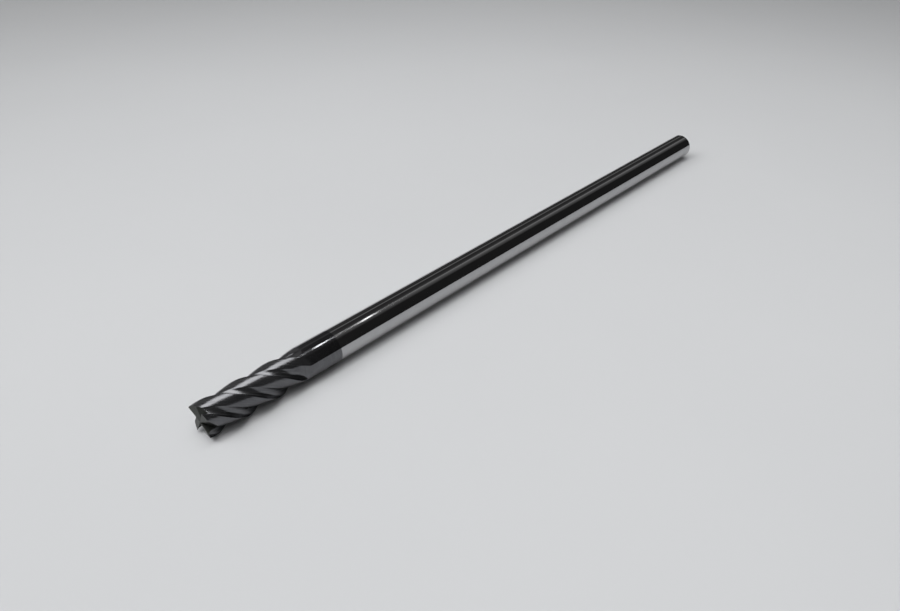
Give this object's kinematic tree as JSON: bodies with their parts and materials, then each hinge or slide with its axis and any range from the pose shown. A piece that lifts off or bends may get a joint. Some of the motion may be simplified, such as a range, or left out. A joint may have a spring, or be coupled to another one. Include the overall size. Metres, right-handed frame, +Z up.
{
  "type": "carbide end mill",
  "caption": "Long solid carbide end mill with a plain round shank, right-hand helical flutes and cutting edges on the side and the end, for milling metal.",
  "frame": {"origin": "The middle of the underside of the bounding box of the tool as it lies on a flat surface. The tool's axis runs parallel to X, at half the shank's thickness above the origin.", "axes": "X runs along the tool from the cutting end at -X to the plain end of the shank at +X. Z is up from the surface that the tool lies on. Y runs across it. The cutting edges turn from Y towards Z as they go from the tip to the shank, which makes the helix right-handed."},
  "size_m": [0.15, 0.006, 0.006],
  "materials": {
    "carbide": "polished bare carbide on the shank, with a dark grey satin coating on the cutting end and the first stretch of the shank"
  },
  "bodies": {
    "root": {"end_mill": "carbide"}
  },
  "joints": []
}
